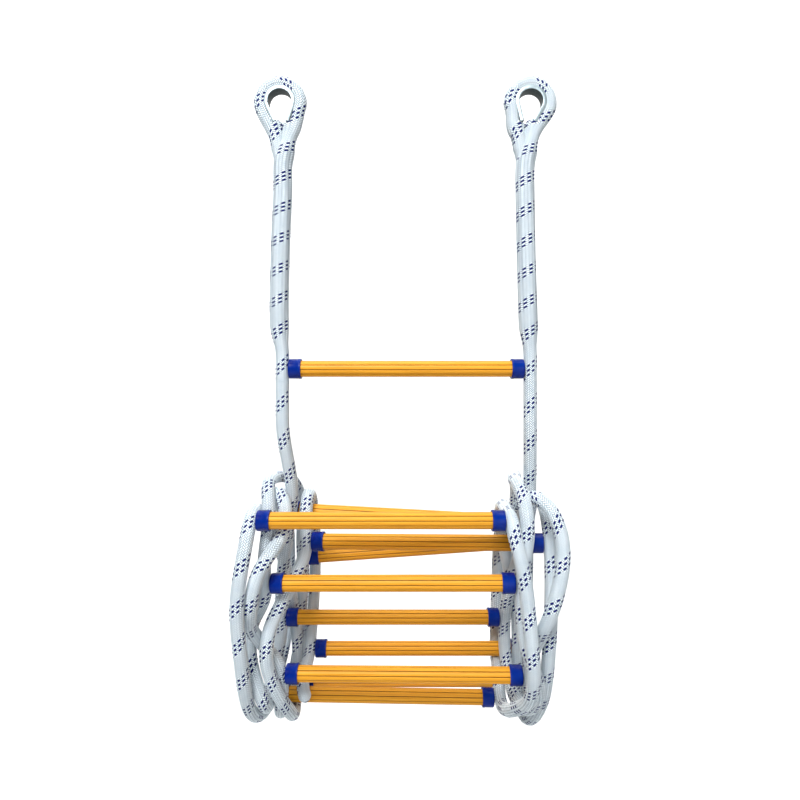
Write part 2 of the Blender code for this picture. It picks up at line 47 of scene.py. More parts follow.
# Round one rib: place in rib widths from its middle, and depth in GROOVE below the tube's radius
RIB_PROFILE = [(-0.40, 0.20), (-0.33, 0.06), (-0.16, 0.0), (0.0, -0.06), (0.16, 0.0), (0.33, 0.06),
               (0.40, 0.20), (0.44, 0.6), (0.47, 1.0), (0.53, 1.0), (0.56, 0.6)]
TUBE_PLAY = 0.0003           # between the tube's end and the cap
CAP_D = 0.0254
CAP_LENGTH = 0.0160
CAP_WALL = 0.0030            # the cap's closed end
CAP_ROUND = 0.0018           # radius of its rim
CAP_PLAY = 0.0003            # round the tube and the rod
CAP_FACE = 0.0020            # flat ring round the rod's hole
LIP_END, LIP_START, LIP_FOOT = 0.0004, 0.0031, 0.0036  # of the cap's lip, from its open end
LIP_RISE, LIP_TUCK = 0.0003, 0.0001  # how far the lip stands out, and its edge draws in
CORE_D = 0.0060              # rod through the rung, woven into both ropes
EYE_R = 0.0150               # inside the round end of the thimble
EYE_LEAN = math.radians(205)  # angle at which the eye's round end starts, on its left side
THIMBLE_DEPTH = 0.0170       # across the thimble's channel, along Y
SHEET = 0.0011               # the thimble's sheet metal
FLANGE = 0.0048              # how far its flanges stand out round the rope
FLANGE_ROUND, EDGE_BEVEL, FILLET = 0.0007, 0.0003, 0.0006  # corner outside, edges, and corner inside
THROAT_Z = -0.0400           # where the thimble ends
THROAT_SHARE = 0.40          # half the gap between the thimble's legs, in EYE_R
CROTCH_SHARE = 0.36          # half the gap between the two strands below it, in their radius round the eye
ROPE_PLAY = 0.0006           # between the thimble and the rope
RUNG_SPACING = 0.348         # along the rope
LEFT, RIGHT = -1, 1
SIDE_NAMES = {LEFT: "left", RIGHT: "right"}

TOP_RUNG_TURN, RUNG_TURN = -8, 13  # degrees that the ribs are turned on the top rung, and more on each below

# The braid: 16 yarns each way round the rope, each over two and under two of the others.
YARNS = 16
LEAD = 0.0470                # length in which a yarn goes once round the rope
RING_STEP = LEAD / (2 * YARNS)
RING_SIDES = 2 * YARNS
LEAD_LOSS = 0.18             # the lead is this much shorter over the buried tail
RELIEF = 0.00042             # the middle of a crossing stands this much proud, its corners this much low
TRACERS = (0, 2, 4)          # the dark yarns, of the 16 that rise to the right
TRACER_SHIFT = {LEFT: 1, RIGHT: 0}       # how many yarns further up the tracers lie
EYE_SWELL = 0.0005           # the cover stands a little fuller round the thimble
END_FLAT = 0.93              # a rope's rounded end is cut flat beyond this share of its radius
LEFT_YARN_PAINTED_SHEEN = 0.80        # painted sheen: the yarns that rise to the left are painted this bright beside the others
SEAM_Z = -0.3720             # where one rope piece ends and the next starts, under the top rung

# The buried tail swells the leg between these heights, and fades in and out over these lengths.
SPLICE_TOP, SPLICE_BOTTOM, SPLICE_FADE_IN, SPLICE_FADE_OUT = -0.058, -0.333, 0.024, 0.036
EYE_LENGTH = 0.16            # of rope, from the tail's end to where the leg starts
EYE_BOTTOM, EYE_FADE = -0.050, 0.030  # where EYE_SWELL starts, and the height in which it grows full
BURIED_LENGTH = 0.030        # the tail's last stretch, which lies inside the leg
# It is slimmer by this much, from this height down, and this is the height in which it gets so.
BURIED_SHRINK, BURIED_TOP, BURIED_FADE = 0.0022, -0.070, 0.020

# Rounding of the rolled rope, which starts at this height and is full a little below it
EASE_TOP, EASE_FADE = -0.4000, 0.040
EASE_SHARE, EASE_ROUNDS = 0.25, 90   # strength of one round, and number of rounds
CURVE_POINTS = 14            # between two control points

# Under the throat, between these heights, the cover closes the gap between the eye's two strands.
WEB_TOP, WEB_BOTTOM, WEB_FADE_IN, WEB_FADE_OUT = -0.0385, -0.0800, 0.006, 0.012
WEB_LAP = 0.0012             # how far each strand's cover passes the middle

# Lengthwise creases of the cover over the buried tail: place round the rope from the front, and depth
CREASES = ((1.0, 0.0008), (-0.8, 0.0006), (0.15, 0.0003), (2.6, 0.0006), (-2.4, 0.0006))
CREASE_SHADE = 0.0016        # painted shade: a crease this deep is painted dark
CREASE_WIDTH = 0.20          # radians round the rope
CREASE_SWAY = 0.25           # how far they wander to each side, in radians round the rope
CREASE_WAVE = 17.0           # radians of that wave per metre of rope

# Rungs from the top down: centre x, y, z in mm, yaw and roll in degrees,
# and the angle round the roll, in degrees, that the rope has reached there.
RUNGS = [
    (8, 0, -355, 0, 0, None),
    (-10, 80, -703, 0, 0, 205),
    (-10, -30, -620, 3, -1, 376),
    (14, 116, -616, 0, -4, 513),
    (4, -5, -744, 3, -1, 674),
    (-4, 48, -553, 3, 2.5, 820),
    (-20, 64, -806, 0, 1, 970),
    (-23, -40, -541, 0, 0, 1114),
    (10, 98, -800, 0, 0, 1300),
    (33, 12, -580, 6, -1, 1501),
    (27, 105, -758, 0, 0, 1657),
]

# The legs between the neck and the top rung: x of each side's rope at a few heights, metres.
LEG_X = {
    LEFT: [(-0.092, -0.1500), (-0.200, -0.1530), (-0.290, -0.1545)],
    RIGHT: [(-0.092, 0.1600), (-0.200, 0.1615), (-0.290, 0.1640)],
}
LEG_START_Z = -0.130         # the leg keeps the neck's x down to here
LEG_END_Z = -0.335           # and has the rung end's x from here on
EYE_X = {LEFT: -0.1530, RIGHT: 0.1665}  # middle of each eye


# ---------------------------------------------------------------- the ropes' route through the roll
ROLL_Y, ROLL_Z = 0.045, -0.668        # middle of the roll's oval
ROLL_DEPTH, ROLL_HEIGHT = 0.080, 0.150  # its half axes
ROLL_SHEAR = 0.2                      # the back of the roll hangs lower than the front
ROLL_TOP = -0.500                     # no loop rises far above this
ROLL_X, ROLL_HALF_WIDTH = 0.004, 0.196  # nor stands further out to the side
ROLL_LIMIT = 1.40                     # loops stay within this many times the oval
STEPS = 24                            # rope points per rung spacing
STEP = RUNG_SPACING / STEPS
TAIL_STEPS = 6                        # rope beyond the last rung
TIGHTEST_BEND = 0.036
STRAND_PITCH = ROPE_D + 0.0012        # least distance between two strands' centres
RUNG_CLEARANCE = 0.0024               # between a passing strand and a rung
SEAT_GAP = 0.0004                     # between a rung's end and its rope
FRONT_RUNGS = (2, 3, 5, 10)           # their end caps show in front of the loops
COVER_REACH, COVER_HEIGHT = 0.030, 0.028  # rope this near a front cap's end moves off it

# How the rope settles into the roll: rounds, and the share of each correction made in one round
ROUNDS, CONTACT_ROUNDS = 900, 120
STIFF, SOFT, SOFT_AFTER = 0.25, 0.12, 0.7  # bending stiffness, and when it turns from stiff to soft
FAIR_SHARE = 0.267
GATHER_SHARE, LOWER_SHARE, COVER_SHARE = 0.5, 0.15, 0.05
SWELL_RANGE = (-0.6, 1.5)             # of a loop's first guess, in half axes of the oval


def rung_axis(rung):
    yaw, roll = math.radians(rung[3]), math.radians(rung[4])
    return np.array([math.cos(yaw) * math.cos(roll), -math.sin(yaw) * math.cos(roll), -math.sin(roll)])


def rung_centre(rung):
    return np.array(rung[:3]) / 1000.0


def rope_at_rung(rung, side):
    """Centre of the side rope where it takes the rung's end."""
    return rung_centre(rung) + rung_axis(rung) * side * (RUNG_LENGTH / 2 + ROPE_D / 2 + SEAT_GAP)


def to_polar(p):
    """Angle round the roll's middle in degrees, and distance from it where 1 is on the oval."""
    across = (p[1] - ROLL_Y) / ROLL_DEPTH
    up = (p[2] - ROLL_Z + ROLL_SHEAR * (p[1] - ROLL_Y)) / ROLL_HEIGHT
    return math.degrees(math.atan2(up, -across)), math.hypot(up, across)


def from_polar(angle, radius, x):
    a = math.radians(angle)
    y = ROLL_Y - ROLL_DEPTH * radius * math.cos(a)
    return np.array([x, y, ROLL_Z - ROLL_SHEAR * (y - ROLL_Y) + ROLL_HEIGHT * radius * math.sin(a)])


def lengths_of(points):
    return np.linalg.norm(np.diff(points, axis=0), axis=1)


def resample(points, count):
    along = np.concatenate([[0.0], np.cumsum(lengths_of(points))])
    at = np.linspace(0.0, along[-1], count)
    return np.stack([np.interp(at, along, points[:, k]) for k in range(3)], axis=1)


def smooth_curve(controls, per_span):
    """Catmull-Rom curve through the control points."""
    c = np.vstack([2 * controls[0] - controls[1], controls, 2 * controls[-1] - controls[-2]])
    out = []
    for i in range(1, len(c) - 2):
        a, b, d, e = c[i - 1:i + 3]
        for t in np.linspace(0.0, 1.0, per_span, endpoint=False):
            out.append(0.5 * (2 * b + (d - a) * t + (2 * a - 5 * b + 4 * d - e) * t**2
                              + (3 * b - a - 3 * d + e) * t**3))
    out.append(c[-2])
    return np.array(out)


def loop_between(p, q, angle_p, angle_q):
    """One rung spacing of rope round the oval, swelling outwards until its length is right."""
    radius_p, radius_q = to_polar(p)[1], to_polar(q)[1]

    def loop(swell):
        return np.array([
            from_polar(angle_p + (angle_q - angle_p) * t,
                       radius_p + (radius_q - radius_p) * t + swell * math.sin(math.pi * t),
                       p[0] + (q[0] - p[0]) * t)
            for t in np.linspace(0.0, 1.0, 60)])

    low, high = SWELL_RANGE
    for _ in range(30):
        middle = (low + high) / 2
        if lengths_of(loop(middle)).sum() < RUNG_SPACING:
            low = middle
        else:
            high = middle
    return resample(loop(low), STEPS + 1)


def first_guess(side):
    """The rope laid round the oval from rung to rung, before it settles."""
    ends = [rope_at_rung(rung, side) for rung in RUNGS]
    angles = [None]
    for end, rung in zip(ends[1:], RUNGS[1:]):
        own = to_polar(end)[0]
        angles.append(own + 360 * round((rung[5] - own) / 360))
    top, second = ends[0], ends[1]
    # Straight down from the top rung, over to the back of the roll and down its back to the second rung
    entry = np.array([top, top + [0, 0.004, -0.060], [(top[0] + second[0]) / 2, 0.030, -0.540],
                      second + [0, -0.006, 0.070], second])
    points = list(resample(smooth_curve(entry, 15), STEPS + 1))
    for i in range(1, len(ends) - 1):
        points += list(loop_between(ends[i], ends[i + 1], angles[i], angles[i + 1])[1:])
    angle, radius = angles[-1], to_polar(ends[-1])[1]
    for _ in range(TAIL_STEPS):
        while np.linalg.norm(from_polar(angle, radius, ends[-1][0]) - points[-1]) < STEP:
            angle += 0.5
        points.append(from_polar(angle, radius, ends[-1][0]))
    return np.array(points)


def fair(points, weight):
    """Bending stiffness: each point moves towards the fair curve through its neighbours."""
    out = points.copy()
    out[2:-2] -= weight * (points[:-4] - 4 * points[1:-3] + 6 * points[2:-2]
                           - 4 * points[3:-1] + points[4:]) * FAIR_SHARE
    return out


def gather(points):
    """Loops that stray too far from the oval, upwards or to the side are drawn back."""
    up = points[:, 2] - ROLL_Z + ROLL_SHEAR * (points[:, 1] - ROLL_Y)
    radius = np.hypot((points[:, 1] - ROLL_Y) / ROLL_DEPTH, up / ROLL_HEIGHT)
    stray = radius > ROLL_LIMIT
    stray[:STEPS] = False
    scale = np.where(stray, 1 - GATHER_SHARE * (1 - ROLL_LIMIT / np.maximum(radius, 0.01)), 1.0)
    y = ROLL_Y + (points[:, 1] - ROLL_Y) * scale
    points[:, 2] = np.where(stray, ROLL_Z - ROLL_SHEAR * (y - ROLL_Y) + up * scale, points[:, 2])
    points[:, 1] = y
    wide = np.abs(points[:, 0] - ROLL_X) - ROLL_HALF_WIDTH
    points[:, 0] -= GATHER_SHARE * np.maximum(wide, 0) * np.sign(points[:, 0] - ROLL_X)
    points[STEPS:, 2] -= LOWER_SHARE * np.maximum(points[STEPS:, 2] - ROLL_TOP, 0)


def uncover(points):
    """Rope that hangs in front of one of the foremost end caps moves outwards, past the cap."""
    for number in FRONT_RUNGS:
        centre, axis = rung_centre(RUNGS[number - 1]), rung_axis(RUNGS[number - 1])
        offset = points - centre
        along = offset @ axis
        past = RUNG_LENGTH / 2 + ROPE_D / 2 - np.abs(along)
        covers = (past > 0) & (past < COVER_REACH) & (offset[:, 1] < 0)
        covers &= np.abs(offset[:, 2]) < COVER_HEIGHT
        covers[:STEPS] = False
        points[covers] += np.outer(COVER_SHARE * past[covers] * np.sign(along[covers]), axis)


def part_strands(points, pairs):
    """Strands that overlap push each other aside, tested at the points and halfway between them."""
    both = np.zeros((2 * len(points) - 1, 3))
    both[::2] = points
    both[1::2] = (points[:-1] + points[1:]) / 2
    first, second = pairs
    apart = both[second] - both[first]
    distance = np.linalg.norm(apart, axis=1)
    close = distance < STRAND_PITCH
    if not close.any():
        return
    first, second = first[close], second[close]
    push = apart[close] * ((STRAND_PITCH - distance[close]) / 2 / distance[close])[:, None]
    total, count = np.zeros_like(both), np.zeros(len(both))
    np.add.at(total, second, push)
    np.add.at(total, first, -push)
    np.add.at(count, second, 1)
    np.add.at(count, first, 1)
    total /= np.maximum(count, 1)[:, None]
    points += total[::2]
    points[:-1] += total[1::2] / 2
    points[1:] += total[1::2] / 2


def clear_rung(points, rung, free):
    """Rope that would run into a rung slides off its side or its end."""
    centre, axis = rung_centre(rung), rung_axis(rung)
    offset = points - centre
    along = offset @ axis
    radial = offset - np.outer(along, axis)
    radius = np.linalg.norm(radial, axis=1)
    past_end, past_side = np.abs(along) - RUNG_LENGTH / 2, radius - CAP_D / 2
    at_rim = (past_end > 0) & (past_side > 0)
    distance = np.where(at_rim, np.hypot(past_end, past_side), np.maximum(past_end, past_side))
    need = ROPE_D / 2 + RUNG_CLEARANCE
    for j in np.nonzero((distance < need) & free)[0]:
        outwards, endwards = radial[j] / max(radius[j], 1e-6), axis * np.sign(along[j])
        if at_rim[j]:
            way = (outwards * past_side[j] + endwards * past_end[j]) / distance[j]
        else:
            way = outwards if past_side[j] > past_end[j] else endwards
        points[j] += way * (need - distance[j])


def hold_apart(points, span):
    """No bend is tighter than the rope allows, measured over a span of steps."""
    least = 2 * TIGHTEST_BEND * math.sin(span * STEP / (2 * TIGHTEST_BEND))
    for start in range(span):
        a = np.arange(start, len(points) - span, span)
        chord = points[a + span] - points[a]
        distance = np.linalg.norm(chord, axis=1)
        push = chord * (np.minimum(distance - least, 0) / distance / 2)[:, None]
        points[a] += push
        points[a + span] -= push


def hold_lengths(points, rest):
    """Neighbouring points stay as far apart as they lie along the rope."""
    for start in (0, 1):
        a = np.arange(start, len(points) - 1, 2)
        link = points[a + 1] - points[a]
        distance = np.linalg.norm(link, axis=1)
        pull = link * ((distance - rest[a]) / distance / 2)[:, None]
        points[a] += pull
        points[a + 1] -= pull


def keep_contacts(points, ends, held, drop, pairs):
    """Strands and rungs clear of each other, and the rope square to each rung that it carries."""
    part_strands(points, pairs)
    for k, rung in enumerate(RUNGS):
        clear_rung(points, rung, np.abs(np.arange(len(points)) - held[k]) > 1)
    points[held] = ends
    for k, rung in enumerate(RUNGS):
        near = [j for j in (held[k] - 1, held[k] + 1) if j >= 0]
        axis = rung_axis(rung)
        points[near] -= np.outer((points[near] - ends[k]) @ axis, axis)
    points[:len(drop)] = drop


def rope_route(side):
    """Centreline of one side rope from the top rung to its tail, as a stiff line of fixed length."""
    points = first_guess(side)
    ends = np.array([rope_at_rung(rung, side) for rung in RUNGS])
    held = np.arange(len(RUNGS)) * STEPS
    drop = ends[0] - np.outer(np.arange(6), [0, 0, STEP])  # straight down under the top rung
    rest = np.full(len(points) - 1, STEP)
    rest[:STEPS] = max(lengths_of(points[:STEPS + 1]).sum() / STEPS, STEP)
    pairs = np.triu_indices(2 * len(points) - 1, k=8)  # at least four steps apart along the rope
    for round_ in range(ROUNDS):
        points = fair(points, STIFF if round_ < SOFT_AFTER * ROUNDS else SOFT)
        gather(points)
        uncover(points)
        keep_contacts(points, ends, held, drop, pairs)
        for span in (2, 4):
            hold_apart(points, span)
        for _ in range(3):
            hold_lengths(points, rest)
            points[held] = ends
    for _ in range(CONTACT_ROUNDS):
        keep_contacts(points, ends, held, drop, pairs)
    return points


# ---------------------------------------------------------------- the whole centreline of a side rope
def eye_controls(side):
    """From the buried tail up round the thimble and down into the neck of the leg."""
    leg_x = LEG_X[side][0][1]
    seat = EYE_R + SHEET + ROPE_PLAY + ROPE_D / 2
    centre = np.array([EYE_X[side], 0.0, -EYE_R])
    arc = [centre + seat * np.array([math.cos(a), 0.0, math.sin(a)])
           for a in np.linspace(EYE_LEAN, math.pi - EYE_LEAN, 9)]
    half = seat * CROTCH_SHARE
    # Under the eye: places across from the leg's middle, and heights
    tail = [(leg_x - 0.0040, 0.0, -0.1000), (leg_x - 0.0055, 0.0, -0.0820), (leg_x - half, 0.0, -0.0600),
            (leg_x - 0.0150, 0.0, -0.0465)]
    neck = [(leg_x + 0.0150, 0.0, -0.0465), (leg_x + half, 0.0, -0.0600), (leg_x + 0.0030, 0.0, -0.0800),
            (leg_x, 0.0, -0.0980)]
    return [*map(np.array, tail), *arc, *map(np.array, neck)]


def leg_controls(side):
    """From the neck down the leg to just over the top rung."""
    rung_x = rope_at_rung(RUNGS[0], side)[0]
    places = [(LEG_START_Z, LEG_X[side][0][1]), *LEG_X[side][1:], (LEG_END_Z, rung_x)]
    return [np.array([x, 0.0, z]) for z, x in places]


def splice_share(z):
    """How far the leg is swollen by the buried tail: 0 outside the splice, 1 where it is full."""
    fade_in = np.clip((SPLICE_TOP - z) / SPLICE_FADE_IN, 0, 1)
    fade_out = np.clip((z - SPLICE_BOTTOM) / SPLICE_FADE_OUT, 0, 1)
    return fade_in**2 * (3 - 2 * fade_in) * fade_out**2 * (3 - 2 * fade_out)


def walk(points):
    """Points one ring of crossings apart. The cover's lead is shorter where the splice stretches it."""
    middle = (points[1:] + points[:-1]) / 2
    rings = lengths_of(points) / (RING_STEP * (1 - LEAD_LOSS * splice_share(middle[:, 2])))
    along = np.concatenate([[0.0], np.cumsum(rings)])
    at = np.arange(0.0, along[-1])
    return np.stack([np.interp(at, along, points[:, k]) for k in range(3)], axis=1)


def ease(points):
    """Sharp corners of the rolled rope are rounded off, as far as the real cover's stiffness does it."""
    share = EASE_SHARE * np.clip((EASE_TOP - points[1:-1, 2]) / EASE_FADE, 0, 1)
    for _ in range(EASE_ROUNDS):
        points[1:-1] += share[:, None] * (points[:-2] - 2 * points[1:-1] + points[2:])
    return points


def whole_rope(side):
    """Centreline of the whole side rope, one point for each ring of crossings."""
    controls = np.array([*eye_controls(side), *leg_controls(side), *rope_route(side)])
    return walk(ease(walk(smooth_curve(controls, CURVE_POINTS))))


def transported_normals(points):
    """Directions across the line that turn only as much as the line does, from straight out in front."""
    tangents = np.gradient(points, axis=0)
    tangents /= np.linalg.norm(tangents, axis=1)[:, None]
    normal = np.array([0.0, -1.0, 0.0])
    normals = []
    for t in tangents:
        normal = normal - t * (normal @ t)
        normal = normal / np.linalg.norm(normal)
        normals.append(normal)
    return tangents, np.array(normals)


def rope_radius(points, seam):
    """Radius at each point, and the share of the creases there.

    The buried tail swells the leg, the cover is fuller round the thimble, and the tail's end is slimmer.
    """
    z = points[:, 2]
    radius = np.full(len(points), ROPE_D / 2)
    leg = np.arange(len(points)) > int(EYE_LENGTH / RING_STEP)
    leg &= np.arange(len(points)) <= seam
    swell = SPLICE_D / 2 - ROPE_D / 2
    amount = splice_share(z)
    radius += np.where(leg, swell * amount, 0.0)
    round_eye = np.clip((z - EYE_BOTTOM) / EYE_FADE, 0, 1)
    radius += EYE_SWELL * round_eye
    buried = np.arange(len(points)) < int(BURIED_LENGTH / RING_STEP)
    radius -= np.where(buried, BURIED_SHRINK * np.clip((BURIED_TOP - z) / BURIED_FADE, 0, 1), 0.0)
    return radius, np.where(leg, amount, 0.0)


def spread_cover(verts, points, web_x):
    """Under the thimble's throat the cover of both strands is drawn together over the gap between them."""
    z = points[:, 2]
    share = np.clip((WEB_TOP - z) / WEB_FADE_IN, 0, 1) * np.clip((z - WEB_BOTTOM) / WEB_FADE_OUT, 0, 1)
    share = share * share * (3 - 2 * share)
    gap = web_x - points[:, 0]
    inner = (verts[:, :, 0] - points[:, None, 0]) * np.sign(gap)[:, None]
    wanted = (np.abs(gap) + WEB_LAP) / (ROPE_D / 2)
    stretch = np.maximum(wanted - 1, 0) * share
    return np.where(inner > 0, inner * stretch[:, None], 0.0) * np.sign(gap)[:, None]


def braided_mesh(name, points, tangents, normals, radius, folds, first, rounded_end, web_x=None):
    """The rope's cover as a net of points, by turns the proud middle of a yarn crossing and a low corner.

    folds is each ring's share of the creases. first numbers the first ring, so that the pattern carries on
    from piece to piece. web_x is the middle between the eye's two strands, where the cover closes the gap.
    """
    rings = len(points)
    k = np.arange(rings)[:, None] + first      # ring
    m = np.arange(RING_SIDES)[None, :]         # place round it
    middle = (m + k) % 2 == 1                  # of a crossing
    proud = np.where(middle, RELIEF, -RELIEF)
    angle = 2 * math.pi * m / RING_SIDES
    creases = np.zeros(proud.shape)
    for at, depth in CREASES:
        away = np.angle(np.exp(1j * (angle - at - CREASE_SWAY * np.sin(k * RING_STEP * CREASE_WAVE + at))))
        creases += folds[:, None] * depth * np.exp(-(away / CREASE_WIDTH)**2)
    proud = proud - creases
    across = np.cross(normals, tangents)
    reach = radius[:, None] + proud
    verts = (points[:, None, :] + normals[:, None, :] * (reach * np.cos(angle))[:, :, None]
             + across[:, None, :] * (reach * np.sin(angle))[:, :, None])
    if rounded_end:
        from_end = (np.arange(rings)[::-1] * RING_STEP)[:, None, None]
        inwards = np.clip(1 - from_end / (ROPE_D / 2), 0, END_FLAT)
        verts = points[:, None, :] + (verts - points[:, None, :]) * np.sqrt(1 - inwards**2)
    if web_x is not None:
        verts[:, :, 0] += spread_cover(verts, points, web_x)
    verts = verts.reshape(-1, 3)

    # For each face, the crossing of the yarn that it shows: place round the rope, and ring
    faces, yarns = [], []
    for ring in range(rings - 1):
        for side in range(RING_SIDES):
            after = (side + 1) % RING_SIDES
            a, b = ring * RING_SIDES + side, ring * RING_SIDES + after
            c, d = b + RING_SIDES, a + RING_SIDES
            level = ring + first
            even = (side + level) % 2 == 0
            # Where a yarn passes over two others its two proud crossings share a ridge.
            in_float = side % 4 == (1 if even else 3)
            if even != in_float:
                faces += [(a, d, c), (a, c, b)]
            else:
                faces += [(a, d, b), (d, c, b)]
            if in_float:
                yarns += [(side + even, level)] * 2
            elif even:
                yarns += [(side, level + 1), (side + 1, level)]
            else:
                yarns += [(side, level), (side + 1, level + 1)]
    yarns = np.array(yarns)
    rises_right = (yarns[:, 0] - 1) % 4 < 2
    number = ((yarns[:, 0] + yarns[:, 1] - 1) // 2) % YARNS
    dark = rises_right & np.isin(number, TRACERS)
    last = (rings - 1) * RING_SIDES
    faces += [tuple(range(RING_SIDES)), tuple(range(last + RING_SIDES - 1, last - 1, -1))]
    mesh = bpy.data.meshes.new(name)
    mesh.from_pydata(verts.tolist(), [], faces)
    mesh.polygons.foreach_set("material_index", np.concatenate([dark.astype(np.int32), [0, 0]]))
    # Painted shade and sheen of each point: full on the yarns that rise to the right, less on those that
    # rise to the left as painted sheen, and painted shade at the low corners and in the creases
    painted_shade_and_sheen = np.where(middle, np.where((m - 1) % 4 < 2, 1.0, LEFT_YARN_PAINTED_SHEEN), 0.0)
    painted_shade_and_sheen = painted_shade_and_sheen * np.exp(-creases / CREASE_SHADE)
    mesh.attributes.new("painted_shade_and_sheen", "FLOAT", "POINT").data.foreach_set("value", painted_shade_and_sheen.ravel().astype(np.float32))
    mesh.shade_smooth()
    mesh.validate()
    return mesh


def add_rope(side):
    """One side rope as two pieces: eye and leg down to the seam, and the rolled rope below it."""
    points = whole_rope(side)
    tangents, normals = transported_normals(points)
    seam = int(np.nonzero(points[:, 2] < SEAM_Z)[0][0])
    radius, folds = rope_radius(points, seam)
    name = SIDE_NAMES[side]
    pieces = []
    for label, part, rounded in (("top", slice(0, seam + 1), False), ("rolled", slice(seam, None), True)):
        first = 2 * TRACER_SHIFT[side] + (part.start or 0)
        mesh = braided_mesh(f"{name}_{label}_rope", points[part], tangents[part], normals[part],
                            radius[part], folds[part], first, rounded,
                            None if rounded else LEG_X[side][0][1])
        ob = bpy.data.objects.new(mesh.name, mesh)
        bpy.context.scene.collection.objects.link(ob)
        mesh.materials.append(WHITE_YARN)
        mesh.materials.append(DARK_YARN)
        pieces.append(ob)
    top, rolled = pieces
    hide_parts(f"{name}_eye_splice", f"{name}_upper_rope")
    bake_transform(top)
    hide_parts(f"{name}_lower_rope")
    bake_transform(rolled)


# ---------------------------------------------------------------- rungs
def add_piece(name, mesh, material):
    """The mesh as a piece in the scene, with its material."""
    ob = bpy.data.objects.new(name, mesh)
    bpy.context.scene.collection.objects.link(ob)
    mesh.materials.append(material)
    return ob


def rib_outline(turn):
    """Radius and angle round the tube: crowned ribs with a narrow groove between each two."""
    return [(TUBE_D / 2 - deep * GROOVE, 2 * math.pi * (rib + at) / RIBS + turn)
            for rib in range(RIBS) for at, deep in RIB_PROFILE]


def tube_mesh(name, length, turn):
    """Ribbed hollow tube along Z, with a few rings along it."""
    outline = rib_outline(turn)
    stations = np.linspace(-length / 2, length / 2, 9)
    bm = bmesh.new()
    rings = [[bm.verts.new((r * math.cos(a), r * math.sin(a), z)) for r, a in outline] for z in stations]
    bore = TUBE_D / 2 - TUBE_WALL
    rings += [[bm.verts.new((bore * math.cos(a), bore * math.sin(a), z)) for _, a in outline]
              for z in (stations[-1], stations[0])]
    for lower, upper in zip(rings, rings[1:] + rings[:1]):
        for i in range(len(outline)):
            j = (i + 1) % len(outline)
            bm.faces.new((lower[i], lower[j], upper[j], upper[i]))
    bmesh.ops.recalc_face_normals(bm, faces=bm.faces)
    mesh = bpy.data.meshes.new(name)
    bm.to_mesh(mesh)
    bm.free()
    mesh.shade_smooth()
    mesh.set_sharp_from_angle(angle=math.radians(55))
    return mesh


def cap_mesh(name):
    """End cap turned about Z, closed at z = 0, with a rounded rim and a small lip at its open end."""
    outer, socket, bore = CAP_D / 2, TUBE_D / 2 + CAP_PLAY, CORE_D / 2 + CAP_PLAY
    rim = [(outer - CAP_ROUND + CAP_ROUND * math.sin(a), -CAP_ROUND + CAP_ROUND * math.cos(a))
           for a in np.linspace(0, math.pi / 2, 5)]
    lip = [(outer, LIP_FOOT - CAP_LENGTH), (outer + LIP_RISE, LIP_START - CAP_LENGTH),
           (outer + LIP_RISE, LIP_END - CAP_LENGTH), (outer - LIP_TUCK, -CAP_LENGTH)]
    inside = [(socket + LIP_END, -CAP_LENGTH), (socket, LIP_END - CAP_LENGTH), (socket, -CAP_WALL),
              (bore, -CAP_WALL)]
    profile = [(bore, 0.0), (bore + CAP_FACE, 0.0), *rim, *lip, *inside]
    bm = bmesh.new()
    verts = [bm.verts.new((radius, 0.0, height)) for radius, height in profile]
    edges = [bm.edges.new((a, b)) for a, b in zip(verts, verts[1:] + verts[:1])]
    bmesh.ops.spin(bm, geom=verts + edges, axis=(0, 0, 1), cent=(0, 0, 0),
                   steps=48, angle=2 * math.pi, use_merge=True)
    bmesh.ops.remove_doubles(bm, verts=bm.verts, dist=1e-6)
    bmesh.ops.recalc_face_normals(bm, faces=bm.faces)
    mesh = bpy.data.meshes.new(name)
    bm.to_mesh(mesh)
    bm.free()
    mesh.shade_smooth()
    mesh.set_sharp_from_angle(angle=math.radians(40))
    return mesh


def add_rung(number, rung):
    """Ribbed tube and two caps of one rung, along its own axis."""
    body = "top_section" if number == 1 else "roll"
    node = f"rung_{number:02d}"
    axis, centre = Vector(rung_axis(rung)), Vector(rung_centre(rung))

    def stand(ob, at, direction):
        ob.rotation_mode = "QUATERNION"
        ob.rotation_quaternion = direction.to_track_quat("Z", "Y")
        ob.location = at
        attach(ob, body)

    turn = math.radians(TOP_RUNG_TURN + RUNG_TURN * (number - 1))
    mesh = tube_mesh(f"{node}_ribbed_tube", RUNG_LENGTH - 2 * (CAP_WALL + TUBE_PLAY), turn)
    tube = add_piece(mesh.name, mesh, YELLOW)
    stand(tube, centre, axis)
    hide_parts(f"{node}_tube")
    for side in (LEFT, RIGHT):
        name = f"{node}_{SIDE_NAMES[side]}"
        cap = add_piece(f"{name}_end_cap", cap_mesh(f"{name}_end_cap"), BLUE)
        outwards = axis * side
        stand(cap, centre + outwards * RUNG_LENGTH / 2, outwards)
        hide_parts(f"{name}_cap")
    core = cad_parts[f"{node}_core"]
    core.data.materials.clear()
    core.data.materials.append(ROD)


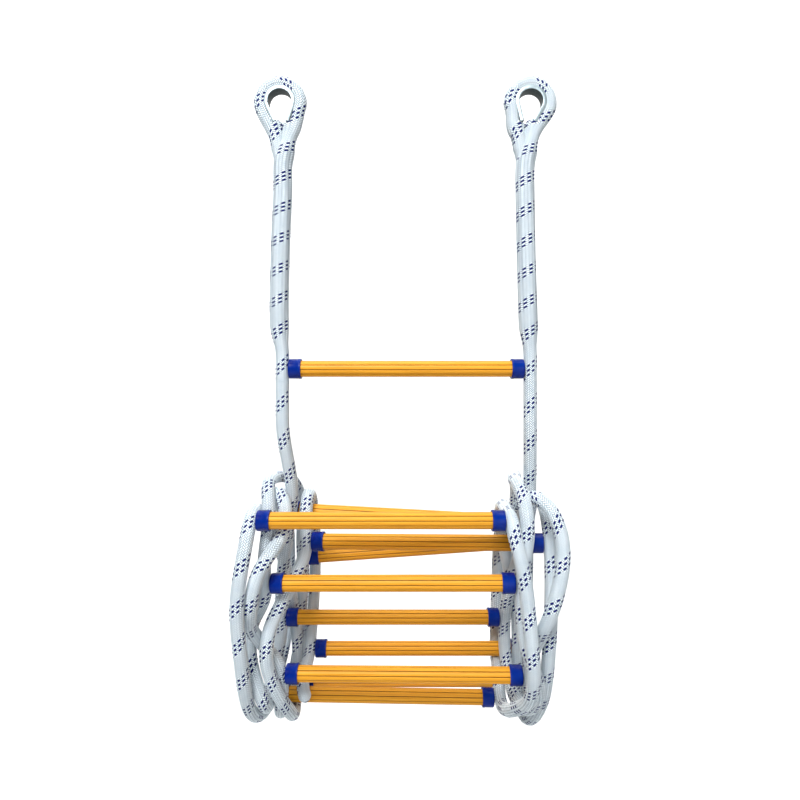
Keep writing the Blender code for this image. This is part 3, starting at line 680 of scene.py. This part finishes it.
# ---------------------------------------------------------------- thimbles
def add_thimble(side):
    """Galvanised channel bent round the eye, its rims flat at the sides and its web rounded."""
    half = THIMBLE_DEPTH / 2
    # The channel's section: distance out from the eye's inside, and place along Y
    section = []
    for s in (-1, 1):
        turn = [(FLANGE_ROUND - FLANGE_ROUND * math.cos(a),
                 s * (half - FLANGE_ROUND + FLANGE_ROUND * math.sin(a)))
                for a in np.linspace(0, math.pi / 2, 5)]
        edge = [(FLANGE - EDGE_BEVEL, s * half), (FLANGE, s * (half - EDGE_BEVEL)),
                (FLANGE, s * (half - SHEET + EDGE_BEVEL)), (FLANGE - EDGE_BEVEL, s * (half - SHEET))]
        inner = [(SHEET + FILLET, s * (half - SHEET)), (SHEET, s * (half - SHEET - FILLET))]
        run = [*turn, *edge, *inner]
        section += run[::-1] if s < 0 else run
    centre = np.array([EYE_X[side], 0.0, -EYE_R])
    throat_x = (EYE_X[side] + LEG_X[side][0][1]) / 2
    arc = [centre + EYE_R * np.array([math.cos(a), 0.0, math.sin(a)])
           for a in np.linspace(EYE_LEAN, math.pi - EYE_LEAN, 41)]
    ends = [np.array([throat_x + s * EYE_R * THROAT_SHARE, 0.0, THROAT_Z]) for s in (-1, 1)]
    path = np.array([ends[0], (ends[0] + arc[0]) / 2, *arc, (ends[1] + arc[-1]) / 2, ends[1]])
    bm = bmesh.new()
    rows = []
    for i, at in enumerate(path):
        along = path[min(i + 1, len(path) - 1)] - path[max(i - 1, 0)]
        along = along / np.linalg.norm(along)
        outwards = np.array([-along[2], 0.0, along[0]])
        rows.append([bm.verts.new(at + outwards * out + np.array([0.0, across, 0.0]))
                     for out, across in section])
    for a, b in zip(rows, rows[1:]):
        for i in range(len(section)):
            j = (i + 1) % len(section)
            bm.faces.new((a[i], a[j], b[j], b[i]))
    bm.faces.new(rows[0])
    bm.faces.new(rows[-1])
    bmesh.ops.recalc_face_normals(bm, faces=bm.faces)
    name = SIDE_NAMES[side] + "_thimble_channel"
    mesh = bpy.data.meshes.new(name)
    bm.to_mesh(mesh)
    bm.free()
    mesh.shade_smooth()
    mesh.set_sharp_from_angle(angle=math.radians(50))
    ob = add_piece(name, mesh, STEEL)
    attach(ob, "eyes")
    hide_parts(SIDE_NAMES[side] + "_thimble")


# ---------------------------------------------------------------- materials
FACTOR, COLOUR_A, COLOUR_B, MIXED = 0, 6, 7, 2  # sockets of a colour Mix node


def new_material(name):
    """Material, its nodes, their links and the main shader."""
    material = bpy.data.materials.new(name)
    material.use_nodes = True
    nodes = material.node_tree.nodes
    return material, nodes, material.node_tree.links, nodes["Principled BSDF"]


def add_node(nodes, kind, **values):
    """New node; each value is for the node's own setting of that name, or else for its input."""
    node = nodes.new(kind)
    for key, value in values.items():
        if hasattr(node, key):
            setattr(node, key, value)
        else:
            node.inputs[key.replace("_", " ")].default_value = value
    return node


def colour_ramp(nodes, stops):
    """Colour ramp through two stops, each a place and a colour."""
    ramp = nodes.new("ShaderNodeValToRGB")
    for element, (at, colour) in zip(ramp.color_ramp.elements, stops):
        element.position = at
        element.color = (*colour, 1.0)
    return ramp


def yarn_material(name, light, painted_shade_colour, roughness, sheen):
    """Twisted synthetic yarn: painted shade in between the crossings, cloudy along it, with fine fibres and
    a soft sheen.
    """
    material, nodes, links, shader = new_material(name)
    place = nodes.new("ShaderNodeTexCoord")
    painted_shade_and_sheen = add_node(nodes, "ShaderNodeAttribute", attribute_name="painted_shade_and_sheen")
    cloudy = add_node(nodes, "ShaderNodeTexNoise", Scale=170.0, Detail=3.0)
    fibres = add_node(nodes, "ShaderNodeTexNoise", Scale=2400.0, Detail=2.0)
    # painted shade: from the dark painted shade colour at the low corners to the yarn's own colour on the
    # crossings
    height = colour_ramp(nodes, [(0.05, painted_shade_colour), (0.46, light)])
    clouds = colour_ramp(nodes, [(0.34, (0.84, 0.87, 0.90)), (0.56, (1.0, 1.0, 1.0))])
    tint = add_node(nodes, "ShaderNodeMix", data_type="RGBA", blend_type="MULTIPLY")
    tint.inputs[FACTOR].default_value = 1.0
    bump = add_node(nodes, "ShaderNodeBump", Strength=0.5, Distance=0.0003)
    for texture in (cloudy, fibres):
        links.new(place.outputs["Object"], texture.inputs["Vector"])
    links.new(painted_shade_and_sheen.outputs["Fac"], height.inputs["Fac"])
    links.new(cloudy.outputs["Fac"], clouds.inputs["Fac"])
    links.new(height.outputs["Color"], tint.inputs[COLOUR_A])
    links.new(clouds.outputs["Color"], tint.inputs[COLOUR_B])
    links.new(tint.outputs[MIXED], shader.inputs["Base Color"])
    links.new(fibres.outputs["Fac"], bump.inputs["Height"])
    links.new(bump.outputs["Normal"], shader.inputs["Normal"])
    shader.inputs["Roughness"].default_value = roughness
    shader.inputs["Sheen Weight"].default_value = sheen
    shader.inputs["Sheen Roughness"].default_value = 0.4
    shader.inputs["Specular IOR Level"].default_value = 0.2
    return material


def yellow_material():
    """Pultruded resin tube: orange-yellow crowns, painted shade of dark brown in the grooves, faint streaks
    along it.
    """
    material, nodes, links, shader = new_material("yellow_ribbed_resin")
    place = nodes.new("ShaderNodeTexCoord")
    apart = nodes.new("ShaderNodeSeparateXYZ")
    flat = nodes.new("ShaderNodeCombineXYZ")
    reach = add_node(nodes, "ShaderNodeVectorMath", operation="LENGTH")
    depth = add_node(nodes, "ShaderNodeMapRange")
    depth.inputs["From Min"].default_value = TUBE_D / 2 - GROOVE
    depth.inputs["From Max"].default_value = TUBE_D / 2 - 0.2 * GROOVE
    stretch = add_node(nodes, "ShaderNodeMapping")
    stretch.inputs["Scale"].default_value = (1.0, 1.0, 0.02)
    streaks = add_node(nodes, "ShaderNodeTexNoise", Scale=900.0, Detail=3.0)
    crown = colour_ramp(nodes, [(0.30, (0.66, 0.275, 0.014)), (0.70, (0.86, 0.405, 0.028))])
    groove = add_node(nodes, "ShaderNodeMix", data_type="RGBA")
    # painted shade: the grooves between the ribs are painted dark brown, the deeper the darker
    groove.inputs[COLOUR_A].default_value = (0.12, 0.036, 0.003, 1.0)
    bump = add_node(nodes, "ShaderNodeBump", Strength=0.25, Distance=0.0002)
    links.new(place.outputs["Object"], apart.inputs["Vector"])
    links.new(apart.outputs["X"], flat.inputs["X"])
    links.new(apart.outputs["Y"], flat.inputs["Y"])
    links.new(flat.outputs["Vector"], reach.inputs[0])
    links.new(reach.outputs["Value"], depth.inputs["Value"])
    links.new(place.outputs["Object"], stretch.inputs["Vector"])
    links.new(stretch.outputs["Vector"], streaks.inputs["Vector"])
    links.new(streaks.outputs["Fac"], crown.inputs["Fac"])
    links.new(depth.outputs["Result"], groove.inputs[FACTOR])
    links.new(crown.outputs["Color"], groove.inputs[COLOUR_B])
    links.new(groove.outputs[MIXED], shader.inputs["Base Color"])
    links.new(streaks.outputs["Fac"], bump.inputs["Height"])
    links.new(bump.outputs["Normal"], shader.inputs["Normal"])
    shader.inputs["Roughness"].default_value = 0.42
    shader.inputs["Specular IOR Level"].default_value = 0.2
    return material


def mottled_material(name, dark, light, scale, roughness, specular, bump_strength):
    """Moulded surface: a slow change of colour and gloss, and a fine uneven skin."""
    material, nodes, links, shader = new_material(name)
    place = nodes.new("ShaderNodeTexCoord")
    patches = add_node(nodes, "ShaderNodeTexNoise", Scale=scale, Detail=4.0)
    skin = add_node(nodes, "ShaderNodeTexNoise", Scale=scale * 9, Detail=2.0)
    ramp = colour_ramp(nodes, [(0.35, dark), (0.65, light)])
    gloss = add_node(nodes, "ShaderNodeMapRange")
    gloss.inputs["To Min"].default_value = roughness - 0.06
    gloss.inputs["To Max"].default_value = roughness + 0.10
    bump = add_node(nodes, "ShaderNodeBump", Strength=bump_strength, Distance=0.0002)
    for texture in (patches, skin):
        links.new(place.outputs["Object"], texture.inputs["Vector"])
    links.new(patches.outputs["Fac"], ramp.inputs["Fac"])
    links.new(patches.outputs["Fac"], gloss.inputs["Value"])
    links.new(ramp.outputs["Color"], shader.inputs["Base Color"])
    links.new(gloss.outputs["Result"], shader.inputs["Roughness"])
    links.new(skin.outputs["Fac"], bump.inputs["Height"])
    links.new(bump.outputs["Normal"], shader.inputs["Normal"])
    shader.inputs["Specular IOR Level"].default_value = specular
    return material


def steel_material():
    """Galvanised sheet: pale spangled rims, and the web between them painted near black as painted shade,
    and less metallic.
    """
    material, nodes, links, shader = new_material("galvanised_steel")
    place = nodes.new("ShaderNodeTexCoord")
    apart = nodes.new("ShaderNodeSeparateXYZ")
    across = add_node(nodes, "ShaderNodeMath", operation="ABSOLUTE")
    rim = add_node(nodes, "ShaderNodeMapRange")
    rim.inputs["From Min"].default_value = THIMBLE_DEPTH / 2 - SHEET
    rim.inputs["From Max"].default_value = THIMBLE_DEPTH / 2 - 0.0004
    spangle = add_node(nodes, "ShaderNodeTexNoise", Scale=420.0, Detail=3.0)
    skin = add_node(nodes, "ShaderNodeTexNoise", Scale=2600.0, Detail=2.0)
    pale = colour_ramp(nodes, [(0.35, (0.40, 0.50, 0.54)), (0.65, (0.58, 0.69, 0.73))])
    # painted shade: the web inside the rims is painted near black
    painted_shade_web = colour_ramp(nodes, [(0.35, (0.010, 0.024, 0.025)), (0.65, (0.034, 0.060, 0.062))])
    mix = add_node(nodes, "ShaderNodeMix", data_type="RGBA")
    metal = add_node(nodes, "ShaderNodeMath", operation="MULTIPLY")
    metal.inputs[1].default_value = 0.7
    bump = add_node(nodes, "ShaderNodeBump", Strength=0.25, Distance=0.0002)
    links.new(place.outputs["Object"], apart.inputs["Vector"])
    links.new(apart.outputs["Y"], across.inputs[0])
    links.new(across.outputs["Value"], rim.inputs["Value"])
    for texture in (spangle, skin):
        links.new(place.outputs["Object"], texture.inputs["Vector"])
    for ramp in (pale, painted_shade_web):
        links.new(spangle.outputs["Fac"], ramp.inputs["Fac"])
    links.new(rim.outputs["Result"], mix.inputs[FACTOR])
    links.new(painted_shade_web.outputs["Color"], mix.inputs[COLOUR_A])
    links.new(pale.outputs["Color"], mix.inputs[COLOUR_B])
    links.new(mix.outputs[MIXED], shader.inputs["Base Color"])
    links.new(skin.outputs["Fac"], bump.inputs["Height"])
    links.new(bump.outputs["Normal"], shader.inputs["Normal"])
    links.new(rim.outputs["Result"], metal.inputs[0])
    links.new(metal.outputs["Value"], shader.inputs["Metallic"])
    shader.inputs["Roughness"].default_value = 0.42
    shader.inputs["Specular IOR Level"].default_value = 0.25
    return material


# ---------------------------------------------------------------- camera, light and backdrop
def add_camera():
    """The photograph's view: level, straight on, 740 mm in front of the top rung."""
    camera = bpy.data.cameras.new("camera")
    camera.lens, camera.sensor_width = 26.0, 36.0
    ob = bpy.data.objects.new("camera", camera)
    ob.location = (0.0, -0.74, -0.3949)
    ob.rotation_euler = (math.radians(90), 0.0, 0.0)
    bpy.context.scene.collection.objects.link(ob)
    bpy.context.scene.camera = ob


def add_light(name, at, size, power, target=(0.0, 0.0, -0.45)):
    """Square soft light that faces its target."""
    light = bpy.data.lights.new(name, "AREA")
    light.shape, light.size, light.energy = "SQUARE", size, power
    ob = bpy.data.objects.new(name, light)
    ob.location = at
    ob.rotation_mode = "QUATERNION"
    ob.rotation_quaternion = (Vector(target) - Vector(at)).to_track_quat("-Z", "Y")
    bpy.context.scene.collection.objects.link(ob)


def add_backdrop():
    """Pale floor that curves up into a wall behind the ladder.

    Its glow grows with height, and the camera sees a stronger glow than the one that lights the ladder.
    """
    floor_z, wall_y, bend, half_width, wall_top = -1.6, 1.9, 0.9, 6.0, 4.0
    glow_height = 1.2            # over the floor, where the glow is full
    profile = [(-half_width, floor_z), (wall_y - bend, floor_z)]
    profile += [(wall_y - bend + bend * math.sin(a), floor_z + bend - bend * math.cos(a))
                for a in np.linspace(0.15, math.pi / 2, 12)]
    profile += [(wall_y, wall_top)]
    bm = bmesh.new()
    rows = [[bm.verts.new((x, y, z)) for y, z in profile] for x in (-half_width, half_width)]
    for i in range(len(profile) - 1):
        bm.faces.new((rows[0][i], rows[1][i], rows[1][i + 1], rows[0][i + 1]))
    mesh = bpy.data.meshes.new("backdrop")
    bm.to_mesh(mesh)
    bm.free()
    mesh.shade_smooth()
    material, nodes, links, shader = new_material("pale_backdrop")
    place = nodes.new("ShaderNodeTexCoord")
    apart = nodes.new("ShaderNodeSeparateXYZ")
    glow = add_node(nodes, "ShaderNodeMapRange")
    glow.inputs["From Min"].default_value = floor_z
    glow.inputs["From Max"].default_value = floor_z + glow_height
    glow.inputs["To Min"].default_value = 0.05
    glow.inputs["To Max"].default_value = 0.30
    links.new(place.outputs["Object"], apart.inputs["Vector"])
    links.new(apart.outputs["Z"], glow.inputs["Value"])
    path = nodes.new("ShaderNodeLightPath")
    seen = add_node(nodes, "ShaderNodeMix")
    seen.inputs["B"].default_value = 0.66
    links.new(path.outputs["Is Camera Ray"], seen.inputs["Factor"])
    links.new(glow.outputs["Result"], seen.inputs["A"])
    links.new(seen.outputs["Result"], shader.inputs["Emission Strength"])
    shader.inputs["Base Color"].default_value = (0.55, 0.55, 0.55, 1.0)
    shader.inputs["Roughness"].default_value = 0.9
    shader.inputs["Emission Color"].default_value = (1.0, 1.0, 1.0, 1.0)
    mesh.materials.append(material)
    ob = bpy.data.objects.new("backdrop", mesh)
    bpy.context.scene.collection.objects.link(ob)


def add_world():
    """Surroundings that are seen almost white and light the ladder only a little."""
    world = bpy.data.worlds.new("studio")
    bpy.context.scene.world = world
    world.use_nodes = True
    nodes, links = world.node_tree.nodes, world.node_tree.links
    surroundings = nodes["Background"]
    surroundings.inputs["Color"].default_value = (1.0, 1.0, 1.0, 1.0)
    surroundings.inputs["Strength"].default_value = 0.05
    seen = add_node(nodes, "ShaderNodeBackground", Strength=0.93)
    seen.inputs["Color"].default_value = (1.0, 1.0, 1.0, 1.0)
    path = nodes.new("ShaderNodeLightPath")
    mix = nodes.new("ShaderNodeMixShader")
    links.new(path.outputs["Is Camera Ray"], mix.inputs[0])
    links.new(surroundings.outputs["Background"], mix.inputs[1])
    links.new(seen.outputs["Background"], mix.inputs[2])
    links.new(mix.outputs["Shader"], nodes["World Output"].inputs["Surface"])


# ---------------------------------------------------------------- the scene
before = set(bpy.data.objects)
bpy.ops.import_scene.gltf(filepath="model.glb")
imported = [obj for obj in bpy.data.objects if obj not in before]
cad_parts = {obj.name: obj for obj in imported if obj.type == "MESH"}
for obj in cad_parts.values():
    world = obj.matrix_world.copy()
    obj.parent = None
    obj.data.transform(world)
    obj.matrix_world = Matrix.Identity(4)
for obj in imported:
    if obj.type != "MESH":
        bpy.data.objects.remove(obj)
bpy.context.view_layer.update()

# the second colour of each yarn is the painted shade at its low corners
WHITE_YARN = yarn_material("white_yarn", (0.87, 0.96, 1.00), (0.10, 0.14, 0.20), 0.80, 0.15)
DARK_YARN = yarn_material("dark_blue_yarn", (0.004, 0.010, 0.15), (0.001, 0.002, 0.03), 0.85, 0.0)
YELLOW = yellow_material()
BLUE = mottled_material("blue_cap_plastic", (0.0003, 0.009, 0.16), (0.0004, 0.024, 0.25),
                        60.0, 0.26, 0.18, 0.10)
STEEL = steel_material()
ROD = mottled_material("core_rod_resin", (0.62, 0.60, 0.52), (0.78, 0.76, 0.68), 300.0, 0.50, 0.3, 0.2)

add_camera()
for rope_side in (LEFT, RIGHT):
    add_rope(rope_side)
for rung_number, rung_place in enumerate(RUNGS, start=1):
    add_rung(rung_number, rung_place)
for thimble_side in (LEFT, RIGHT):
    add_thimble(thimble_side)
add_world()
add_backdrop()
add_light("key", (-0.6, -2.2, 1.5), 1.2, 108.0)
add_light("fill", (0.7, -2.0, -0.5), 1.6, 14.0, target=(0.0, 0.0, -0.65))
add_light("backdrop_light", (0.0, 0.9, 2.2), 3.0, 90.0, target=(0.0, 1.9, -0.6))
bpy.context.scene.view_settings.view_transform = "Standard"
